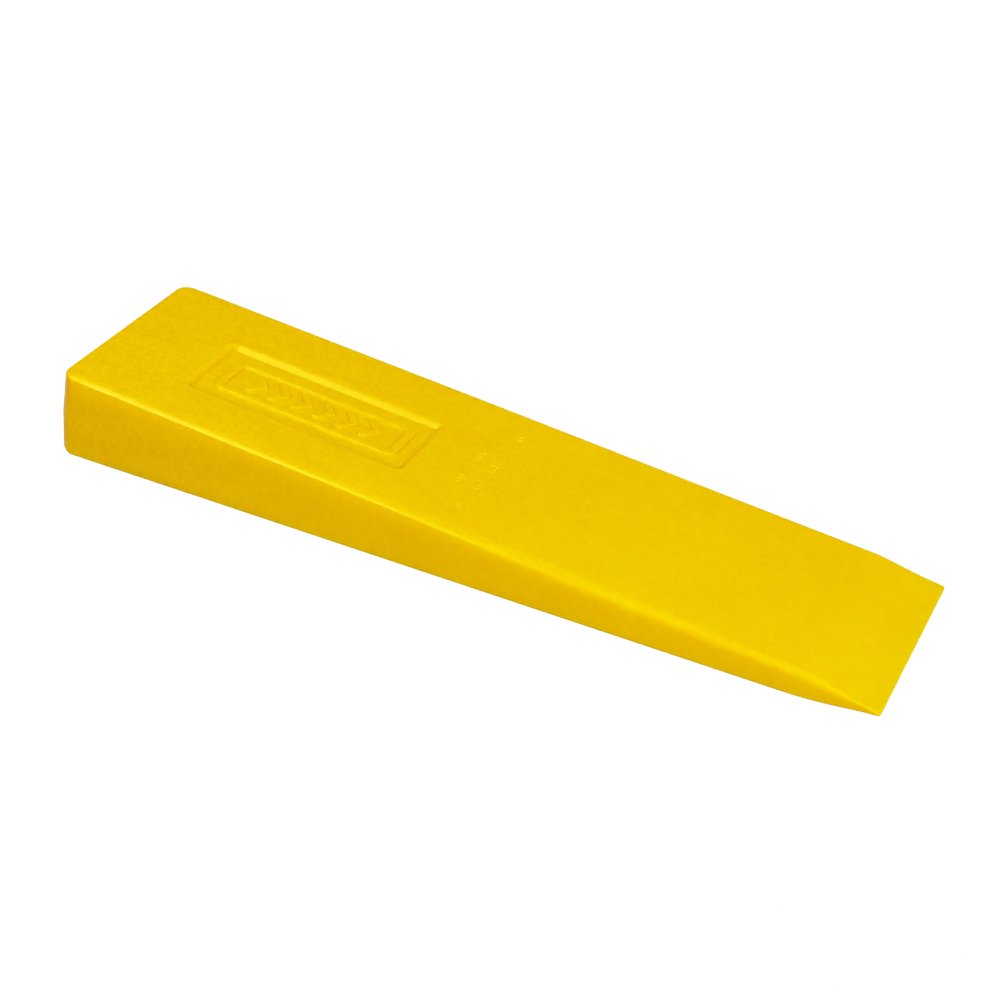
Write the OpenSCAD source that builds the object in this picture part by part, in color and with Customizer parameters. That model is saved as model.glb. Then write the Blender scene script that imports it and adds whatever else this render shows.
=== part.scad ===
// Felling wedge: a solid moulded plastic wedge that is driven into a saw kerf.
// +Z is up, +X runs from the strike end to the tip, and the underside rests on z = 0
// with the middle of the footprint at the origin.
//
// The wedge is symmetric about the plane where the two mould halves meet. Each half is
// a slab with its own broad face, and the strike end of each slab is square to that
// face, so the two halves of the strike end meet in a faint ridge at mid-height.

/* [Wedge] */
// Overall length, from the strike end to the edge of the tip
wedge_length = 254; // [230:1:305]
// Width across the broad faces
wedge_width = 69.1; // [60:0.1:80]
// Thickness at the strike end, between the two broad faces
butt_thickness = 27.3; // [24:0.1:32]
// Thickness where the bevels of the tip begin
bevel_thickness = 7.7; // [6:0.1:9]
// Length of the two bevels of the tip
bevel_length = 20.2; // [16:0.1:26]
// Thickness left at the edge of the tip
tip_thickness = 0.9; // [0.6:0.1:1.6]

/* [Edges] */
// Radius of the upright corners of the strike end, seen from above
butt_corner_r = 4.5; // [3.5:0.1:7]
// Rounding round the rim of both broad faces
rim_r = 1; // [0.6:0.1:1.5]
// Rounding where the strike end meets the underside
heel_r = 2.4; // [1.8:0.1:4]
// Radius of the two corners of the tip, seen from above
tip_corner_r = 1; // [0.5:0.1:3]

/* [Panel] */
// Length of the sunk panel in the top face, at its rim
panel_length = 71.2; // [66:0.1:80]
// Width of the sunk panel, at its rim
panel_width = 29.2; // [28:0.1:34]
// Distance from the strike end to the panel
panel_start = 31.1; // [24:0.1:44]
// Distance of the panel's centre line from the middle of the wedge
panel_offset = -1.1; // [-2:0.1:2]
// Depth of the panel, whose walls slope at 45 degrees
panel_depth = 1.6; // [1.4:0.1:2]
// Corner radius of the panel at its rim
panel_corner_r = 2.2; // [2.1:0.1:4]

/* [Raised pattern] */
// Length of the raised border in the panel
border_length = 60; // [56:0.5:60]
// Width of the raised border
border_width = 17.5; // [16:0.5:20]
// Width of the band that the border is made of
border_band = 2.3; // [1.5:0.1:3]
// Corner radius of the border
border_corner_r = 2.6; // [2:0.1:3.5]
// Height of the border and the arrowheads over the panel's floor
pattern_height = 0.8; // [0.4:0.1:1]
// Number of arrowheads that point to the tip
arrow_count = 6; // [3:1:6]
// Distance from one arrowhead to the next
arrow_pitch = 7.6; // [6.6:0.1:7.6]
// Height of an arrowhead across the panel
arrow_span = 9.2; // [6:0.1:9.6]
// Reach of an arrowhead along the wedge
arrow_reach = 3.6; // [2.5:0.1:4]
// Stroke of an arrowhead, measured along the wedge
arrow_stroke = 2.6; // [1.6:0.1:2.8]

/* [Mould ticks] */
// Distance from the strike end to the first row of shallow ticks
tick_start = 118; // [112:1:130]
// Distance between the two rows of ticks
tick_row_gap = 6; // [4:0.5:8]
// Length of a tick
tick_length = 1.9; // [1.2:0.1:2.4]
// Width of a tick
tick_width = 0.6; // [0.4:0.1:0.9]
// Depth of a tick
tick_depth = 0.25; // [0.15:0.05:0.4]

/* [Hidden] */
$fn = 64;

wedge_color = [0.93, 0.76, 0.02];
// Overlap between parts that are joined
overlap = 0.01;
// How far a cutting shape runs past the surface it cuts
cut_margin = 1;
// How far the slabs run past the tip
slab_overrun = 6;
// How far the bevel planes carry on past their start, towards the strike end
bevel_overrun = 4;
// How far the panel's sloping walls carry on above the top face
panel_overrun = 0.2;
// Smallest corner radius inside the border
border_min_inner_r = 0.3;

// Half of the angle between the two broad faces
half_angle = atan((butt_thickness - bevel_thickness) / 2 / (wedge_length - bevel_length));
// Length along the mid-plane
mid_length = (wedge_length - sin(half_angle) * tip_thickness / 2) / cos(half_angle);
// Distance from the ridge of the strike end to either broad face
face_height = butt_thickness / 2 * cos(half_angle);
slab_length = mid_length + slab_overrun;
half_width = wedge_width / 2;

// Distance from one tick to the next in a group
tick_pitch = 1.7;
// Rows of tick groups; each group is [centre across the wedge, number of ticks]
tick_rows = [
    [[-9, 3], [5, 3]],
    [[-21, 2], [-9, 3], [2, 4], [21, 2]]
];

// Extrudes a side view, drawn as [x, z], across the wedge and centred on y = 0
module extrude_across(width) {
    translate([0, width / 2, 0]) rotate([90, 0, 0]) linear_extrude(width) children();
}

// Two circles that round an end's corners, with their centres at x
module corner_pair(x, radius) {
    for (side = [-1, 1])
        translate([x, side * (half_width - radius)]) circle(radius);
}

// Outline of a broad face, long enough to run out past the tip
module face_outline() {
    translate([butt_corner_r, -half_width])
        square([slab_length - butt_corner_r, wedge_width]);
    translate([0, -half_width + butt_corner_r])
        square([butt_corner_r + overlap, wedge_width - 2 * butt_corner_r]);
    corner_pair(butt_corner_r, butt_corner_r);
}

// Section of the material a rounding takes off an outer edge that runs through [0, 0]
module rounding_section(radius) {
    difference() {
        translate([-radius, -radius]) square(radius + cut_margin);
        translate([-radius, -radius]) circle(radius);
    }
}

// Rounds the rim of a broad face: both long edges, the strike end and its two corners
module rim_cut() {
    for (flip = [0, 1])
        mirror([0, flip, 0]) {
            translate([butt_corner_r, half_width, 0]) rotate([90, 0, 90])
                linear_extrude(slab_length) rounding_section(rim_r);
            translate([butt_corner_r, half_width - butt_corner_r, 0]) rotate([0, 0, 90])
                rotate_extrude(angle = 90) translate([butt_corner_r, 0])
                    rounding_section(rim_r);
        }
    extrude_across(wedge_width - 2 * butt_corner_r)
        mirror([1, 0]) rounding_section(rim_r);
}

// One half's slab: its broad face is up, and its rim is rounded
module slab() {
    difference() {
        translate([0, 0, -butt_thickness])
            linear_extrude(butt_thickness + face_height) face_outline();
        translate([0, 0, face_height]) rim_cut();
    }
}

// Side view of the tip's bevels, with room for the slabs behind them
module tip_profile() {
    back = mid_length - bevel_length - bevel_overrun;
    bevel_slope = (bevel_thickness - tip_thickness) / 2 / bevel_length;
    back_height = bevel_thickness / 2 + bevel_overrun * bevel_slope;
    polygon([
        [-cut_margin, -butt_thickness],
        [back, -butt_thickness],
        [back, -back_height],
        [mid_length, -tip_thickness / 2],
        [mid_length, tip_thickness / 2],
        [back, back_height],
        [back, butt_thickness],
        [-cut_margin, butt_thickness]
    ]);
}

// Plan of the tip's rounded corners, with room for the slabs behind them
module tip_plan() {
    corner_x = mid_length - tip_corner_r;
    translate([-2 * cut_margin, -half_width - cut_margin])
        square([corner_x + 2 * cut_margin, wedge_width + 2 * cut_margin]);
    translate([corner_x - overlap, -half_width + tip_corner_r])
        square([tip_corner_r + overlap, wedge_width - 2 * tip_corner_r]);
    corner_pair(corner_x, tip_corner_r);
}

// Everything that lies inside the tip's bevels and its rounded corners
module tip_envelope() {
    intersection() {
        extrude_across(wedge_width + 2 * cut_margin) tip_profile();
        translate([0, 0, -butt_thickness]) linear_extrude(2 * butt_thickness) tip_plan();
    }
}

// The sunk panel: a shallow tray with 45 degree walls, its rim at z = 0
module panel_pocket() {
    corner_x = panel_length / 2 - panel_corner_r;
    corner_y = panel_width / 2 - panel_corner_r;
    top_r = panel_corner_r + panel_overrun;
    floor_r = panel_corner_r - panel_depth;

    // Section of the tray whose corner centres lie at +-corner
    module tray_section(corner) {
        polygon([
            [-corner - floor_r, -panel_depth],
            [corner + floor_r, -panel_depth],
            [corner + top_r, panel_overrun],
            [-corner - top_r, panel_overrun]
        ]);
    }

    for (side_x = [-1, 1], side_y = [-1, 1])
        translate([side_x * corner_x, side_y * corner_y, -panel_depth])
            cylinder(h = panel_depth + panel_overrun, r1 = floor_r, r2 = top_r);
    translate([-corner_x, 0, 0]) rotate([90, 0, 90])
        linear_extrude(2 * corner_x) tray_section(corner_y);
    extrude_across(2 * corner_y) tray_section(corner_x);
}

module rounded_rect(length, width, radius) {
    square([length - 2 * radius, width], center = true);
    square([length, width - 2 * radius], center = true);
    for (side_x = [-1, 1], side_y = [-1, 1])
        translate([side_x * (length / 2 - radius), side_y * (width / 2 - radius)])
            circle(radius);
}

module border() {
    difference() {
        rounded_rect(border_length, border_width, border_corner_r);
        rounded_rect(border_length - 2 * border_band, border_width - 2 * border_band,
                     max(border_corner_r - border_band, border_min_inner_r));
    }
}

// An arrowhead that points along +X
module arrowhead() {
    half_span = arrow_span / 2;
    polygon([
        [0, -half_span], [arrow_stroke, -half_span], [arrow_stroke + arrow_reach, 0],
        [arrow_stroke, half_span], [0, half_span], [arrow_reach, 0]
    ]);
}

// Border and arrowheads that stand on the panel's floor
module raised_pattern() {
    row_length = (arrow_count - 1) * arrow_pitch + arrow_stroke + arrow_reach;
    translate([0, 0, -panel_depth - overlap]) linear_extrude(pattern_height + overlap) {
        border();
        for (i = [0 : arrow_count - 1])
            translate([-row_length / 2 + i * arrow_pitch, 0]) arrowhead();
    }
}

// Shallow ticks sunk in the top face, in two rows across it
module mould_ticks() {
    for (row = [0 : len(tick_rows) - 1], group = tick_rows[row], i = [0 : group[1] - 1])
        translate([
            tick_start + row * tick_row_gap - tick_length / 2,
            group[0] + (i - (group[1] - 1) / 2) * tick_pitch - tick_width / 2,
            -tick_depth
        ])
            cube([tick_length, tick_width, cut_margin]);
}

// Cuts the rounding where the strike end meets the underside
module heel_cut() {
    extrude_across(wedge_width + 2 * cut_margin)
        mirror([1, 0]) mirror([0, 1]) rounding_section(heel_r);
}

// Both slabs cut to the tip, with the mid-plane at z = 0
module wedge_blank() {
    intersection() {
        rotate([0, half_angle, 0]) slab();
        mirror([0, 0, 1]) rotate([0, half_angle, 0]) slab();
        tip_envelope();
    }
}

// What is sunk in the top face, with that face at z = 0 and the strike end at x = 0
module top_face_cuts() {
    translate([panel_start + panel_length / 2, panel_offset, 0]) difference() {
        panel_pocket();
        raised_pattern();
    }
    mould_ticks();
}

module wedge_body() color(wedge_color) {
    translate([-wedge_length / 2, 0, 0]) difference() {
        // Tilts the mid-plane so that the underside lies flat on z = 0
        translate([0, 0, face_height]) rotate([0, half_angle, 0]) difference() {
            wedge_blank();
            rotate([0, half_angle, 0]) translate([0, 0, face_height]) top_face_cuts();
        }
        heel_cut();
    }
}

wedge_body();
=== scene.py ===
"""A yellow plastic wedge, lying on one of its two broad faces.

The wedge runs along X, from its thick strike end at -X to its bevelled tip at +X, with its
width along Y. The lower broad face rests on z = 0. "Near" is the -Y side, where the camera
stands, and "far" is the +Y side. The upper face carries a sunk panel and rows of ticks.
"""
import math

import bmesh
import bpy
import numpy as np
from mathutils import Matrix, Vector
from mathutils.geometry import delaunay_2d_cdt


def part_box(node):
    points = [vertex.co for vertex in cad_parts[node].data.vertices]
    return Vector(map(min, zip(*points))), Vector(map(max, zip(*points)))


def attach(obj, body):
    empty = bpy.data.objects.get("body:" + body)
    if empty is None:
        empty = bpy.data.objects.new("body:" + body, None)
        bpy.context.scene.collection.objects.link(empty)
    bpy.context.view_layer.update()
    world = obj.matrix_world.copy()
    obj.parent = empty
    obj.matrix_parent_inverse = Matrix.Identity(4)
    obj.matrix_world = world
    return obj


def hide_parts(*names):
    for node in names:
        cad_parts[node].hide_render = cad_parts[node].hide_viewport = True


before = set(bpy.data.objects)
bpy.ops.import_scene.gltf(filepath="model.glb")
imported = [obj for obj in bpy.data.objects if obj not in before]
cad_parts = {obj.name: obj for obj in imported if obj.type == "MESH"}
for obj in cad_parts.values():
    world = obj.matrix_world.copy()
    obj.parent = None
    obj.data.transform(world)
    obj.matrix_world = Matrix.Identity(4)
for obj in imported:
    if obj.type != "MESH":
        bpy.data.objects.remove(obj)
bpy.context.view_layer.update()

node_lo, node_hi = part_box("wedge_body")

# ---------------------------------------------------------------- sizes, in mm
# The wedge is two mirrored halves that meet on its mid-plane. Each half is described
# in the frame of its own broad face: u runs from the strike end to the tip, v across,
# and w is the distance from the ridge of the strike end towards that face.
LENGTH = (node_hi.x - node_lo.x) * 1000
WIDTH = 69.1
STRIKE_THICK, BEVEL_THICK, TIP_THICK = 27.3, 7.7, 0.9
BEVEL_LENGTH = 20.2
BEVEL_SETBACK = 0.1
STRIKE_CORNER_R, TIP_CORNER_R = 4.5, 1.0

HALF_ANGLE = math.atan((STRIKE_THICK - BEVEL_THICK) / 2 / (LENGTH - BEVEL_LENGTH))
TAN_HALF = math.tan(HALF_ANGLE)
SIN_FULL, COS_FULL = math.sin(2 * HALF_ANGLE), math.cos(2 * HALF_ANGLE)
FACE_W = STRIKE_THICK / 2 * math.cos(HALF_ANGLE)
MID_PLANE_LENGTH = (LENGTH - math.sin(HALF_ANGLE) * TIP_THICK / 2) / math.cos(HALF_ANGLE)
TIP_U = MID_PLANE_LENGTH * math.cos(HALF_ANGLE)
TIP_W = TIP_U * TAN_HALF + TIP_THICK / 2
BEVEL_U = TIP_U - BEVEL_LENGTH - BEVEL_SETBACK
BEVEL_SLOPE = (FACE_W - TIP_W) / (TIP_U - BEVEL_U)
HALF_WIDTH = WIDTH / 2

# half the length over which each face eases into its bevel
TOP_EASE, LOW_EASE = 3.0, 7.0
# the middle of each face is slightly hollow, up to this margin from the sides
SINK_DEPTH, SINK_MARGIN = 0.10, 5

# sunk panel in the upper face
PANEL_U0, PANEL_U1 = 31.1, 102.3
PANEL_V0, PANEL_V1 = -15.7, 13.5
PANEL_MID_U, PANEL_MID_V = (PANEL_U0 + PANEL_U1) / 2, (PANEL_V0 + PANEL_V1) / 2
PANEL_CORNER_R = 2.2
PANEL_DEPTH = 1.6
# each wall as (slope in degrees, rounding of its rim, rounding of its foot,
# outward shift of its rim, points along it)
PANEL_WALLS = (
    (45, 4.0, 0.8, 0.0, 46),  # near
    (42, 0.4, 0.7, 0.4, 20),  # towards the tip
    (45, 1.75, 0.5, 0.0, 46),  # far
    (58, 2.6, 0.3, 0.05, 20),  # towards the strike end
)

# raised border and row of arrowheads on the panel's floor
PATTERN_HEIGHT = 0.8
BORDER_LENGTH, BORDER_WIDTH, BORDER_BAND = 60.0, 17.5, 2.3
BORDER_CORNER_R = 2.6
BORDER_INNER_EXTRA_R = 0.7
ARROWS, ARROW_PITCH = 6, 7.6
ARROW_SPAN, ARROW_REACH, ARROW_STROKE = 9.2, 3.6, 2.6
ARROW_CORNER_R, MIN_CORNER_R = 0.5, 0.02

# shallow ticks: for each row across the face, groups of (centre v, count)
TICK_ROWS = (
    ((-9, 3), (5, 3)),
    ((-21, 2), (-9, 3), (2, 4), (21, 2)),
)
TICK_U, TICK_ROW_PITCH, TICK_PITCH = 118.0, 6.0, 1.7
TICK_HALF_LENGTH, TICK_HALF_WIDTH, TICK_CORNER_R = 0.95, 0.36, 0.33
TICK_DEPTH = 0.25
TICK_OVERSIZE = 0.05

SECTION_STEPS = 20
CORNER_STEPS = 8
STEP_MARGIN = 0.12  # flat kept beyond each rounding of a moulded step


# ---------------------------------------------------------------- surfaces
def smooth(x, start, end):
    """0 before start, 1 after end, and an S-curve between."""
    t = min(1.0, max(0.0, (x - start) / (end - start)))
    return t * t * (3 - 2 * t)


def top_face(u, v=0.0, ease=TOP_EASE):
    """Height w of a broad face, with the bevel of the tip eased in."""
    past = u - BEVEL_U
    if past <= -ease:
        drop = 0.0
    elif past >= ease:
        drop = BEVEL_SLOPE * past
    else:
        drop = BEVEL_SLOPE * (past + ease) ** 2 / (4 * ease)
    # the thick middle of a solid moulding draws in slightly as it cools
    sink = SINK_DEPTH * max(0.0, 1 - (v / (HALF_WIDTH - SINK_MARGIN)) ** 2) ** 2
    sink *= smooth(u, 4, 40) * (1 - smooth(u, 150, 230))
    return FACE_W - drop - sink


def low_face(u, v=0.0):
    """The lower face's bevel is eased in over a longer stretch."""
    return top_face(u, v, LOW_EASE)


def floor_rise(u, v):
    """The panel's floor lifts a little before its near wall and its wall towards the tip."""
    near = min(1.0, max(0.0, (-10.9 - v) / 3.0))
    tip = min(1.0, max(0.0, (u - 98.0) / 2.2))
    return 0.19 * near * near + 0.16 * tip * tip


def panel_floor(u, v):
    return top_face(u, v) - PANEL_DEPTH + floor_rise(u, v)


def pattern_top(u, v):
    return panel_floor(u, v) + PATTERN_HEIGHT


def tick_floor(u, v):
    return top_face(u, v) - TICK_DEPTH


def place_top(u, v, w):
    """Upper half's frame to the wedge's frame."""
    return (
        u * COS_FULL + w * SIN_FULL - LENGTH / 2,
        v,
        -u * SIN_FULL + w * COS_FULL + FACE_W,
    )


def place_low(u, v, w):
    """Lower half's frame to the wedge's frame."""
    return (u - LENGTH / 2, v, FACE_W - w)


# ---------------------------------------------------------------- mesh builder
def inside(points, loops):
    """True for each point in an odd number of the loops."""
    odd = np.zeros(len(points), bool)
    x, y = points[:, 0], points[:, 1]
    for loop in loops:
        starts = np.array(loop)
        ends = np.roll(starts, -1, axis=0)
        for (x0, y0), (x1, y1) in zip(starts, ends):
            if y0 == y1:
                continue
            crossing = (x1 - x0) * (y - y0) / (y1 - y0) + x0
            odd ^= ((y0 > y) != (y1 > y)) & (x < crossing)
    return odd


class Shell:
    """Vertices in mm, their (u, v) in their own half, and faces."""

    def __init__(self):
        self.places = []
        self.plan = []
        self.faces = []

    def point(self, u, v, w, low=False):
        place = place_low if low else place_top
        self.places.append(place(u, v, w))
        self.plan.append((u, v))
        return len(self.places) - 1

    def loop(self, outline, surface, rise):
        """A loop of points at a constant rise over a surface of the upper half."""
        return [self.point(u, v, surface(u, v) + rise) for u, v in outline]

    def strip(self, first, second):
        """Quads between two closed loops of the same length."""
        count = len(first)
        for i in range(count):
            j = (i + 1) % count
            self.faces.append((first[i], first[j], second[j], second[i]))

    def strips(self, loops):
        for first, second in zip(loops, loops[1:]):
            self.strip(first, second)

    def cap(self, outer, holes, surface, spacing, clear, low=False):
        """Triangles between an outer loop and its holes, over a net of points that stays
        clear of the loops."""
        loops = [outer] + holes
        plans = [[self.plan[i] for i in loop] for loop in loops]
        points, edges, known = [], [], []
        for loop, plan in zip(loops, plans):
            base, count = len(points), len(loop)
            points += plan
            known += list(loop)
            edges += [(base + k, base + (k + 1) % count) for k in range(count)]
        net = self.net(np.array(points), plans, spacing, clear)
        points += [(u, v) for u, v in net]
        known += [None] * len(net)

        result = delaunay_2d_cdt([Vector(p) for p in points], edges, [], 0, 1e-7)
        verts, triangles, origins = result[0], result[2], result[3]
        index = []
        for vert, origin in zip(verts, origins):
            old = known[origin[0]] if origin else None
            if old is None:
                old = self.point(vert.x, vert.y, surface(vert.x, vert.y), low)
            index.append(old)
        centres = [np.mean([(verts[i].x, verts[i].y) for i in t], axis=0) for t in triangles]
        for triangle, keep in zip(triangles, inside(np.array(centres), plans)):
            if keep:
                self.faces.append(tuple(index[i] for i in triangle))

    @staticmethod
    def net(border, plans, spacing, clear):
        """Staggered rows of points within the loops; empty if the cap is small."""
        lo, hi = border.min(0), border.max(0)
        columns = np.arange(lo[0] + spacing * 0.5, hi[0], spacing)
        rows = np.arange(lo[1] + spacing * 0.5, hi[1], spacing)
        net = np.array([
            (u + (0.5 * spacing if row % 2 else 0.0), v)
            for row, v in enumerate(rows)
            for u in columns
        ])
        if len(net):
            net = net[inside(net, plans)]
            far = np.ones(len(net), bool)
            # in chunks, to bound the memory
            for k in range(0, len(border), 400):
                gaps = np.linalg.norm(net[:, None, :] - border[None, k : k + 400, :], axis=2)
                far &= gaps.min(1) > clear
            net = net[far]
        return net


# ---------------------------------------------------------------- outlines in plan
def quarter_arc(mid_u, mid_v, radius, start, count):
    """(u, v, normal u, normal v) round a quarter turn from start degrees, without its end."""
    out = []
    for k in range(count):
        angle = math.radians(start + 90 * k / count)
        cos, sin = math.cos(angle), math.sin(angle)
        out.append((mid_u + radius * cos, mid_v + radius * sin, cos, sin))
    return out


def spaced(start, end, step, dense):
    """Stations from start to end, closer together near each place in dense."""
    out, x = [start], start
    while True:
        gap = min([step] + [0.22 * abs(x - place) + 0.35 for place in dense])
        x += gap
        if x >= end - 0.4 * gap:
            break
        out.append(x)
    out.append(end)
    return out


def wedge_outline():
    """(u, v, normal u, normal v) round the wedge, starting along the near side."""
    tip_u, tip_v = TIP_U - TIP_CORNER_R, HALF_WIDTH - TIP_CORNER_R
    strike_u, strike_v = STRIKE_CORNER_R, HALF_WIDTH - STRIKE_CORNER_R
    side = spaced(strike_u, tip_u, 1.6, (strike_u, BEVEL_U, TIP_U))
    tip = spaced(-tip_v, tip_v, 1.6, (-tip_v, tip_v))
    strike = spaced(-strike_v, strike_v, 1.8, (-strike_v, strike_v))
    return (
        [(u, -HALF_WIDTH, 0.0, -1.0) for u in side[:-1]]
        + quarter_arc(tip_u, -tip_v, TIP_CORNER_R, -90, 8)
        + [(TIP_U, v, 1.0, 0.0) for v in tip[:-1]]
        + quarter_arc(tip_u, tip_v, TIP_CORNER_R, 0, 8)
        + [(u, HALF_WIDTH, 0.0, 1.0) for u in side[:0:-1]]
        + quarter_arc(strike_u, strike_v, STRIKE_CORNER_R, 90, 14)
        + [(0.0, v, -1.0, 0.0) for v in strike[:0:-1]]
        + quarter_arc(strike_u, -strike_v, STRIKE_CORNER_R, 180, 14)
    )


def round_rect(u0, u1, v0, v1, radius, corner_count, u_count, v_count):
    """A rounded rectangle with the same number of points at any size."""

    def line(a, b, count):
        return [
            (a[0] + (b[0] - a[0]) * k / count, a[1] + (b[1] - a[1]) * k / count)
            for k in range(count)
        ]

    def arc(mid_u, mid_v, start):
        return [p[:2] for p in quarter_arc(mid_u, mid_v, radius, start, corner_count)]

    return (
        line((u0 + radius, v0), (u1 - radius, v0), u_count)
        + arc(u1 - radius, v0 + radius, -90)
        + line((u1, v0 + radius), (u1, v1 - radius), v_count)
        + arc(u1 - radius, v1 - radius, 0)
        + line((u1 - radius, v1), (u0 + radius, v1), u_count)
        + arc(u0 + radius, v1 - radius, 90)
        + line((u0, v1 - radius), (u0, v0 + radius), v_count)
        + arc(u0 + radius, v0 + radius, 180)
    )


def soft_polygon(corners, grow, soft, steps):
    """A polygon grown by an offset, its corners rounded in a fixed number of steps."""
    corners = [np.array(corner, float) for corner in corners]
    sides = []
    for here, there in zip(corners, corners[1:] + corners[:1]):
        along = there - here
        along /= np.linalg.norm(along)
        sides.append((here + np.array([along[1], -along[0]]) * grow, along))

    out = []
    for (place_in, way_in), (place_out, way_out) in zip(sides[-1:] + sides[:-1], sides):
        crossing = np.array([way_in, -way_out]).T
        corner = place_in + way_in * np.linalg.solve(crossing, place_out - place_in)[0]
        turn = way_in[0] * way_out[1] - way_in[1] * way_out[0]
        radius = max(MIN_CORNER_R, soft + (grow if turn > 0 else -grow))
        angle = math.atan2(turn, float(way_in @ way_out))
        start = corner - way_in * (radius * math.tan(abs(angle) / 2))
        middle = start + np.array([-way_in[1], way_in[0]]) * (1 if turn > 0 else -1) * radius
        first = math.atan2(start[1] - middle[1], start[0] - middle[0])
        for k in range(steps + 1):
            a = first + angle * k / steps
            out.append(tuple(middle + radius * np.array([math.cos(a), math.sin(a)])))
    return out


# ---------------------------------------------------------------- sections
def step_profile(height, slope, top_r, foot_r, steps):
    """(outward distance, height) down a moulded step, from its flat top to the flat at its
    foot. Distance 0 is where the straight slope would meet the top."""
    slope = math.radians(slope)
    top_cut, foot_cut = top_r * math.tan(slope / 2), foot_r * math.tan(slope / 2)
    run = height / math.tan(slope)
    turns = [slope * k / steps for k in range(steps + 1)]
    points = [(-top_cut - STEP_MARGIN, 0.0)]
    for a in turns:
        points.append((-top_cut + top_r * math.sin(a), -top_r * (1 - math.cos(a))))
    for a in turns[::-1]:
        points.append((
            run + foot_cut - foot_r * math.sin(a),
            -height + foot_r * (1 - math.cos(a)),
        ))
    points.append((run + foot_cut + STEP_MARGIN, -height))
    return points


def arc_section(radius):
    """A round edge as (distance in from the side, depth under the face), face to side."""
    turns = [math.radians(90 * k / SECTION_STEPS) for k in range(SECTION_STEPS + 1)]
    return np.array([(radius * (1 - math.sin(a)), radius * (1 - math.cos(a))) for a in turns])


def eased_section(core, tail_top, tail_side):
    """An edge with a tight middle and long soft tails, in the same form."""
    s = np.linspace(-4.5 * tail_top, 4.4 * tail_side, 1601)
    stride = s[1] - s[0]
    tail = np.where(s < 0, tail_top, tail_side)
    turn = 0.5 / (1 + np.exp(-s / core)) + 0.5 / (1 + np.exp(-s / tail))
    turn = (turn - turn[0]) / (turn[-1] - turn[0])
    out = np.cumsum(np.cos(turn * math.pi / 2)) * stride
    down = np.cumsum(np.sin(turn * math.pi / 2)) * stride
    stops = (1 - np.cos(np.linspace(0, math.pi, SECTION_STEPS + 1))) / 2
    inset = out[-1] - np.interp(stops, turn, out)
    return np.array([inset, np.interp(stops, turn, down) - down[0]]).T


EDGE_SHARP = eased_section(core=0.40, tail_top=1.2, tail_side=2.0)
EDGE_BROAD = eased_section(core=1.5, tail_top=1.3, tail_side=1.5)


def rim_top(u, v):
    """Section of the upper rim: tight on the far side and the strike end, eased by handling
    on the near side."""
    thickness = top_face(u) - u * TAN_HALF
    radius = 0.85 + 0.20 * (1 - smooth(u, 1, STRIKE_CORNER_R + 4)) + 0.55 * smooth(u, 95, 205)
    tight = arc_section(min(radius, 0.8 * thickness))
    if v > 0:
        return tight
    broad = smooth(u, 90, 170)
    eased = EDGE_SHARP * (1 - broad) + EDGE_BROAD * broad
    # shrunk to fit the thin end
    eased = eased * min(1.0, 0.85 * thickness / eased[-1][1], 1.15 * thickness / eased[0][0])
    share = smooth(u, 0.3, 9)
    return tight * (1 - share) + eased * share


def rim_low(u, v):
    """Section of the lower rim, rounder at the strike end."""
    radius = 0.95 + 1.45 * (1 - smooth(u, 0.0, STRIKE_CORNER_R))
    return arc_section(min(radius, 0.8 * (low_face(u) - u * TAN_HALF)))


# ---------------------------------------------------------------- parts of the moulding
def edge_column(u, v, normal_u, normal_v, rim, face):
    """Places (u, v, w) from just inside the rim down to just short of the parting line."""
    section = rim(u, v)
    reach = section[0][0]

    def inward(distance):
        return u - normal_u * distance, v - normal_v * distance

    column = []
    for margin in (0.30, 0.08):
        plan = inward(reach + min(margin, 0.5 * reach))
        column.append((*plan, face(*plan)))
    for inset, depth in section:
        plan = inward(max(0.0, inset))
        column.append((*plan, face(*plan) - depth))
    for share in (0.04, 0.3, 0.6, 0.9, 0.985):
        w = (face(u) - section[-1][1]) * (1 - share) + u * TAN_HALF * share
        column.append((u, v, w))
    return column


def add_sides(shell):
    """Rims and sides of both halves; returns the loops that bound the two faces."""
    outline = wedge_outline()
    halves = []
    for rim, face, low in ((rim_top, top_face, False), (rim_low, low_face, True)):
        columns = [edge_column(*station, rim, face) for station in outline]
        halves.append([[shell.point(*place, low) for place in ring] for ring in zip(*columns)])
    parting = [shell.point(u, v, u * TAN_HALF) for u, v, _, _ in outline]
    for rings in halves:
        shell.strips(rings + [parting])
    return halves[0][0], halves[1][0]


def panel_outline(insets, heights):
    """(u, v, height) round the panel at one level, given each wall's inset and height."""
    near, tip, far, strike = insets
    u0, u1 = PANEL_U0 + strike, PANEL_U1 - tip
    v0, v1 = PANEL_V0 + near, PANEL_V1 - far
    radii = [PANEL_CORNER_R - (insets[i] + insets[(i + 1) % 4]) / 2 for i in range(4)]
    # centres of the corners: near tip, far tip, far strike, near strike
    middles = [
        (u1 - radii[0], v0 + radii[0]),
        (u1 - radii[1], v1 - radii[1]),
        (u0 + radii[2], v1 - radii[2]),
        (u0 + radii[3], v0 + radii[3]),
    ]
    walls = [
        ((middles[3][0], v0), (middles[0][0], v0)),
        ((u1, middles[0][1]), (u1, middles[1][1])),
        ((middles[1][0], v1), (middles[2][0], v1)),
        ((u0, middles[2][1]), (u0, middles[3][1])),
    ]
    out = []
    for side, (a, b) in enumerate(walls):
        count = PANEL_WALLS[side][-1]
        for i in range(count):
            t = i / count
            out.append((a[0] + (b[0] - a[0]) * t, a[1] + (b[1] - a[1]) * t, heights[side]))
        arc = quarter_arc(*middles[side], radii[side], -90 + 90 * side, CORNER_STEPS)
        for i, (u, v, _, _) in enumerate(arc):
            t = i / CORNER_STEPS
            out.append((u, v, heights[side] * (1 - t) + heights[(side + 1) % 4] * t))
    return out


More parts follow.
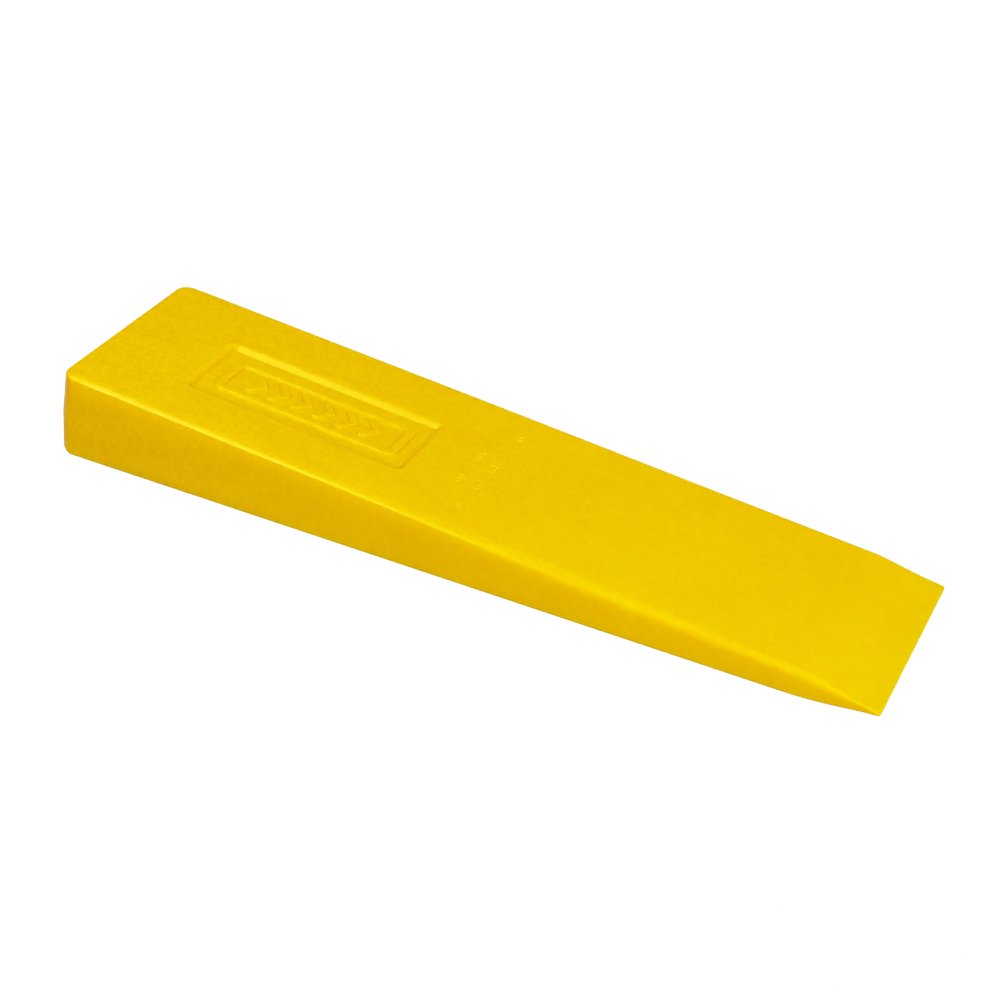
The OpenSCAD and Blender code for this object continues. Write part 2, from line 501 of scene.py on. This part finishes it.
def add_panel_walls(shell):
    """Rounded rim and sloped walls of the sunk panel; returns its rim and its foot."""
    profiles = []
    for slope, top_r, foot_r, shift, _ in PANEL_WALLS:
        profile = step_profile(PANEL_DEPTH, slope, top_r, foot_r, steps=7)
        profiles.append([(distance - shift, height) for distance, height in profile])
    loops = []
    for level in zip(*profiles):
        insets, heights = zip(*level)
        loops.append([
            shell.point(u, v, top_face(u, v) + h * (1 - floor_rise(u, v) / PANEL_DEPTH))
            for u, v, h in panel_outline(insets, heights)
        ])
    shell.strips(loops)
    return loops[0], loops[-1]


PATTERN_STEP = step_profile(PATTERN_HEIGHT, slope=72, top_r=0.28, foot_r=0.22, steps=4)


def border_loops(shell, setback, outward, radius):
    """Loops down one side of the border; outward is 1 for its outer side, -1 for its inner."""
    loops = []
    for distance, height in PATTERN_STEP:
        grow = outward * distance
        half_u = BORDER_LENGTH / 2 - setback + grow
        half_v = BORDER_WIDTH / 2 - setback + grow
        outline = round_rect(
            PANEL_MID_U - half_u, PANEL_MID_U + half_u,
            PANEL_MID_V - half_v, PANEL_MID_V + half_v,
            radius + grow, corner_count=CORNER_STEPS, u_count=40, v_count=12,
        )
        loops.append(shell.loop(outline, pattern_top, height))
    return loops


def add_border(shell):
    """Raised border; returns the feet of its outer and inner sides."""
    inner_r = BORDER_CORNER_R - BORDER_BAND + BORDER_INNER_EXTRA_R
    outer = border_loops(shell, setback=0.0, outward=1, radius=BORDER_CORNER_R)
    inner = border_loops(shell, setback=BORDER_BAND, outward=-1, radius=inner_r)
    shell.strips(outer)
    shell.strips(inner)
    shell.strip(outer[0], inner[0])
    return outer[-1], inner[-1]


def add_arrowhead(shell, i):
    """One raised arrowhead, pointing to the tip; returns its foot."""
    row_length = (ARROWS - 1) * ARROW_PITCH + ARROW_STROKE + ARROW_REACH
    u, half = PANEL_MID_U - row_length / 2 + i * ARROW_PITCH, ARROW_SPAN / 2
    corners = [
        (u, PANEL_MID_V - half),
        (u + ARROW_STROKE, PANEL_MID_V - half),
        (u + ARROW_STROKE + ARROW_REACH, PANEL_MID_V),
        (u + ARROW_STROKE, PANEL_MID_V + half),
        (u, PANEL_MID_V + half),
        (u + ARROW_REACH, PANEL_MID_V),
    ]
    loops = []
    for distance, height in PATTERN_STEP:
        outline = soft_polygon(corners, grow=distance, soft=ARROW_CORNER_R, steps=5)
        loops.append(shell.loop(outline, pattern_top, height))
    shell.strips(loops)
    shell.cap(loops[0], [], pattern_top, spacing=1.2, clear=0.5)
    return loops[-1]


def add_tick(shell, u, v):
    """One sunk tick, long in u; returns its rim."""
    loops = []
    for distance, height in step_profile(TICK_DEPTH, slope=55, top_r=0.12, foot_r=0.10, steps=3):
        inset = distance - TICK_OVERSIZE
        outline = round_rect(
            u - TICK_HALF_LENGTH + inset, u + TICK_HALF_LENGTH - inset,
            v - TICK_HALF_WIDTH + inset, v + TICK_HALF_WIDTH - inset,
            TICK_CORNER_R - inset, corner_count=4, u_count=4, v_count=1,
        )
        loops.append(shell.loop(outline, top_face, height))
    shell.strips(loops)
    shell.cap(loops[-1], [], tick_floor, spacing=9.0, clear=1.0)
    return loops[0]


def add_ticks(shell):
    rims = []
    for row, groups in enumerate(TICK_ROWS):
        for middle, count in groups:
            for i in range(count):
                v = middle + (i - (count - 1) / 2) * TICK_PITCH
                rims.append(add_tick(shell, TICK_U + TICK_ROW_PITCH * row, v))
    return rims


def moulding_shell():
    shell = Shell()
    top_edge, low_edge = add_sides(shell)
    panel_rim, panel_foot = add_panel_walls(shell)
    border_outer, border_inner = add_border(shell)
    arrow_feet = [add_arrowhead(shell, i) for i in range(ARROWS)]
    shell.cap(panel_foot, [border_outer], panel_floor, spacing=1.6, clear=0.7)
    shell.cap(border_inner, arrow_feet, panel_floor, spacing=1.6, clear=0.7)
    tick_rims = add_ticks(shell)
    shell.cap(top_edge, [panel_rim] + tick_rims, top_face, spacing=2.4, clear=1.0)
    shell.cap(low_edge, [], low_face, spacing=3.0, clear=1.4, low=True)
    return shell


def shell_mesh(name, shell):
    """The shell as a closed, smooth-shaded mesh in metres."""
    mesh = bpy.data.meshes.new(name)
    places = [(x / 1000, y / 1000, z / 1000) for x, y, z in shell.places]
    mesh.from_pydata(places, [], shell.faces)
    mesh.validate()
    bm = bmesh.new()
    bm.from_mesh(mesh)
    bmesh.ops.remove_doubles(bm, verts=bm.verts, dist=1e-7)
    loose = [v for v in bm.verts if not v.link_faces]
    bmesh.ops.delete(bm, geom=loose, context="VERTS")
    bmesh.ops.recalc_face_normals(bm, faces=bm.faces)
    bm.to_mesh(mesh)
    bm.free()
    for polygon in mesh.polygons:
        polygon.use_smooth = True
    return mesh


scene = bpy.context.scene


def add_object(name, data):
    obj = bpy.data.objects.new(name, data)
    scene.collection.objects.link(obj)
    return obj


wedge = add_object("wedge_moulding", shell_mesh("wedge_moulding", moulding_shell()))
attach(wedge, "root")
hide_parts("wedge_body")


# ---------------------------------------------------------------- materials
class Nodes:
    """The emptied node tree of a material or world."""

    def __init__(self, owner):
        owner.use_nodes = True
        self.tree = owner.node_tree
        self.tree.nodes.clear()

    def add(self, kind, inputs=None, **settings):
        node = self.tree.nodes.new(kind)
        for name, value in settings.items():
            setattr(node, name, value)
        self.feed(node, inputs or {})
        return node

    def feed(self, node, inputs):
        """Set each input to a value, or link it to an output."""
        for name, value in inputs.items():
            if isinstance(value, bpy.types.NodeSocket):
                self.tree.links.new(value, node.inputs[name])
            else:
                node.inputs[name].default_value = value

    def math(self, operation, a, b):
        return self.add("ShaderNodeMath", {0: a, 1: b}, operation=operation).outputs[0]

    def remap(self, value, source, target):
        return self.add("ShaderNodeMapRange", {
            "From Min": source[0], "From Max": source[1],
            "To Min": target[0], "To Max": target[1],
            "Value": value,
        }).outputs["Result"]

    def split_by_camera(self, seen, cast, output):
        """One shader for the camera and a dimmer one for the light that reaches the wedge."""
        path = self.add("ShaderNodeLightPath")
        mix = self.add("ShaderNodeMixShader", {
            "Fac": path.outputs["Is Camera Ray"],
            1: cast.outputs[0],
            2: seen.outputs[0],
        })
        self.add(output, {"Surface": mix.outputs[0]})


def yellow_plastic():
    material = bpy.data.materials.new("yellow_plastic")
    nodes = Nodes(material)
    output = nodes.add("ShaderNodeOutputMaterial")
    plastic = nodes.add("ShaderNodeBsdfPrincipled", subsurface_method="RANDOM_WALK")
    nodes.feed(output, {"Surface": plastic.outputs["BSDF"]})
    where = nodes.add("ShaderNodeTexCoord")

    def noise(scale, detail, roughness, squeeze=None):
        """Noise in the wedge's own space; squeeze draws it out along X."""
        texture = nodes.add("ShaderNodeTexNoise", {
            "Scale": scale, "Detail": detail, "Roughness": roughness,
        })
        source = where.outputs["Object"]
        if squeeze:
            mapping = nodes.add("ShaderNodeMapping", {
                "Scale": (squeeze, 1, 1), "Vector": source,
            })
            source = mapping.outputs["Vector"]
        nodes.feed(texture, {"Vector": source})
        return texture.outputs["Fac"]

    def add(a, b):
        return nodes.math("ADD", a, b)

    def multiply(a, b):
        return nodes.math("MULTIPLY", a, b)

    def swing(value, amount):
        """Noise re-centred on zero and scaled."""
        return multiply(nodes.math("SUBTRACT", value, 0.5), amount)

    cloud = noise(scale=26, detail=4, roughness=0.55)
    mottle = noise(scale=620, detail=2, roughness=0.55)
    speck = noise(scale=1700, detail=2, roughness=0.6)
    smear = noise(scale=240, detail=3, roughness=0.6, squeeze=0.10)

    # the mould's texture is coarser at the strike end, where it has also been scuffed
    along = (-0.11, 0.04)
    place = nodes.add("ShaderNodeSeparateXYZ", {"Vector": where.outputs["Object"]})
    scuffed = nodes.remap(place.outputs["X"], source=along, target=(1.0, 0.6))
    facing = nodes.add("ShaderNodeSeparateXYZ", {"Vector": where.outputs["Normal"]})
    lively = nodes.remap(place.outputs["X"], source=along, target=(0.70, 0.12))
    upward = nodes.remap(facing.outputs["Z"], source=(0.6, 0.95), target=(0.0, 1.0))
    marked = add(scuffed, multiply(lively, upward))

    # colour: every share swings about the middle of the mix
    colour = nodes.add("ShaderNodeMix", {
        "A": (0.732, 0.428, 0.0002, 1),
        "B": (0.848, 0.502, 0.0005, 1),
    }, data_type="RGBA")
    uneven = add(swing(mottle, amount=1.5), swing(speck, amount=1.3))
    uneven = add(uneven, swing(smear, amount=0.6))
    uneven = add(multiply(uneven, marked), swing(cloud, amount=0.7))
    nodes.feed(colour, {"Factor": add(uneven, 0.5)})

    gloss = noise(scale=900, detail=4, roughness=0.6)
    nodes.feed(plastic, {
        "Base Color": colour.outputs["Result"],
        "Roughness": nodes.remap(gloss, source=(0.3, 0.7), target=(0.175, 0.225)),
        "IOR": 1.5,
        "Specular IOR Level": 0.45,
        "Specular Tint": (1.0, 0.86, 0.13, 1),
        "Subsurface Weight": 0.6,
        "Subsurface Radius": (1.0, 0.45, 0.03),
        "Subsurface Scale": 0.006,
    })

    # relief: spark-eroded mould texture, with faint draw marks along the wedge
    grain = noise(scale=1500, detail=3, roughness=0.65)
    fine = noise(scale=4200, detail=2, roughness=0.5)
    draw = noise(scale=800, detail=3, roughness=0.6, squeeze=0.06)
    pebble = noise(scale=700, detail=2, roughness=0.5)
    relief = add(add(multiply(grain, 0.55), multiply(fine, 0.3)), multiply(draw, 0.15))
    relief = add(multiply(relief, scuffed), multiply(pebble, multiply(scuffed, 0.9)))
    # scuffs along the far corner of the strike end
    scuff = noise(scale=520, detail=3, roughness=0.55, squeeze=0.14)
    worn = multiply(
        nodes.remap(place.outputs["X"], source=(-0.108, -0.086), target=(1.0, 0.0)),
        nodes.remap(place.outputs["Y"], source=(-0.016, 0.006), target=(0.0, 1.0)),
    )
    relief = add(relief, multiply(scuff, multiply(worn, 1.3)))
    bump = nodes.add("ShaderNodeBump", {
        "Strength": 0.8, "Distance": 0.00006, "Height": relief,
    })
    nodes.feed(plastic, {"Normal": bump.outputs["Normal"]})
    return material


def pale_floor():
    material = bpy.data.materials.new("pale_floor")
    nodes = Nodes(material)
    paint = nodes.add("ShaderNodeBsdfDiffuse", {"Color": (0.60, 0.60, 0.60, 1)})
    lift = nodes.add("ShaderNodeEmission", {"Strength": 1.15})
    seen = nodes.add("ShaderNodeAddShader", {0: paint.outputs[0], 1: lift.outputs[0]})
    cast = nodes.add("ShaderNodeBsdfDiffuse", {"Color": (0.45, 0.45, 0.45, 1)})
    nodes.split_by_camera(seen, cast, "ShaderNodeOutputMaterial")
    return material


wedge.data.materials.append(yellow_plastic())

# ---------------------------------------------------------------- floor, in metres
FLOOR_HALF = 30
FLOOR_DROP = 0.00002  # keeps the floor just clear of the wedge's lower face

floor_mesh = bpy.data.meshes.new("floor")
floor_corners = [(x * FLOOR_HALF, y * FLOOR_HALF, 0) for x, y in ((-1, -1), (1, -1), (1, 1), (-1, 1))]
floor_mesh.from_pydata(floor_corners, [], [(0, 1, 2, 3)])
floor = add_object("floor", floor_mesh)
floor.location.z = -FLOOR_DROP
floor_mesh.materials.append(pale_floor())


# ---------------------------------------------------------------- light
def add_world():
    world = bpy.data.worlds.new("studio")
    scene.world = world
    nodes = Nodes(world)
    seen, cast = [
        nodes.add("ShaderNodeBackground", {"Strength": strength, "Color": (1, 1, 1, 1)})
        for strength in (2.0, 0.12)
    ]
    nodes.split_by_camera(seen, cast, "ShaderNodeOutputWorld")


def softbox(name, azimuth, elevation, power, distance=0.85, size=(0.45, 0.40)):
    """A lamp aimed just above the origin. Azimuth is in degrees from -Y towards +X."""
    a, e = math.radians(azimuth), math.radians(elevation)
    away = Vector((math.sin(a) * math.cos(e), -math.cos(a) * math.cos(e), math.sin(e)))
    data = bpy.data.lights.new(name, "AREA")
    data.shape = "RECTANGLE"
    data.size, data.size_y = size
    data.energy = power
    lamp = add_object(name, data)
    lamp.location = Vector((0, 0, 0.01)) + away * distance
    lamp.rotation_mode = "QUATERNION"
    lamp.rotation_quaternion = away.to_track_quat("Z", "Y")
    lamp.visible_camera = False
    return lamp


add_world()
softbox("front_left", azimuth=-40, elevation=49, power=3.05)
softbox("side_left", azimuth=-74, elevation=55, power=2.05)
softbox("front_right", azimuth=50, elevation=28, power=4.33)
softbox("side_right", azimuth=72, elevation=50, power=3.25)
softbox("back_fill", azimuth=180, elevation=60, power=0.5, distance=1.20, size=(0.80, 0.60))
back_low = softbox(
    "back_low", azimuth=172, elevation=12, power=1.5, distance=0.95, size=(0.95, 0.35)
)
back_low.visible_glossy = False
# a strip that only glances off the near top edge
edge_strip = softbox("edge_strip", azimuth=-30, elevation=26, power=4.1, size=(0.38, 0.07))
edge_strip.visible_diffuse = False
edge_strip.visible_transmission = False


# ---------------------------------------------------------------- camera
def add_camera():
    data = bpy.data.cameras.new("camera")
    data.sensor_width = 36.0
    data.lens = 78.9976
    data.clip_start, data.clip_end = 0.01, 60
    camera = add_object("camera", data)
    place = Vector((0.192231, -0.503939, 0.347771))
    look = Vector((-0.29971984, 0.79125085, -0.53300104)).normalized()
    up = Vector((-0.28985354, 0.45675149, 0.84104875))
    up = (up - look * up.dot(look)).normalized()
    right = look.cross(up)
    camera.matrix_world = Matrix((*zip(right, up, -look, place), (0, 0, 0, 1)))
    scene.camera = camera


add_camera()

# ---------------------------------------------------------------- tone
WHITE_LEVEL = 2.0
STRAIGHT_END = 0.37  # curve position where the straight part gives way to the shoulder
# (scene value, shown value): a soft shoulder, so bright yellows roll off before they clip
SHOULDER = (
    (0.35, 0.35), (0.60, 0.60), (0.72, 0.72), (0.80, 0.775), (0.88, 0.815),
    (0.965, 0.852), (1.034, 0.885), (1.31, 0.975), (1.60, 1.0),
)
# (curve position, shown value): deepens the darkest blues
BLUE_TOE = ((0.006, 0.0003), (0.014, 0.006), (0.03, 0.025), (0.05, 0.05))


def set_tone(view):
    view.view_transform = "Standard"
    view.look = "None"
    view.use_curve_mapping = True
    tone = view.curve_mapping
    tone.white_level = (WHITE_LEVEL, WHITE_LEVEL, WHITE_LEVEL)
    blue, combined = tone.curves[2], tone.curves[3]
    for x, y in SHOULDER:
        combined.points.new(x / WHITE_LEVEL, y)
    combined.points[-1].location = (1.0, 1.0)
    for x, y in BLUE_TOE:
        blue.points.new(x, y)
    for point in blue.points:
        point.handle_type = "VECTOR"
    for point in combined.points:
        point.handle_type = "VECTOR" if point.location[0] < STRAIGHT_END else "AUTO"
    tone.update()


set_tone(scene.view_settings)
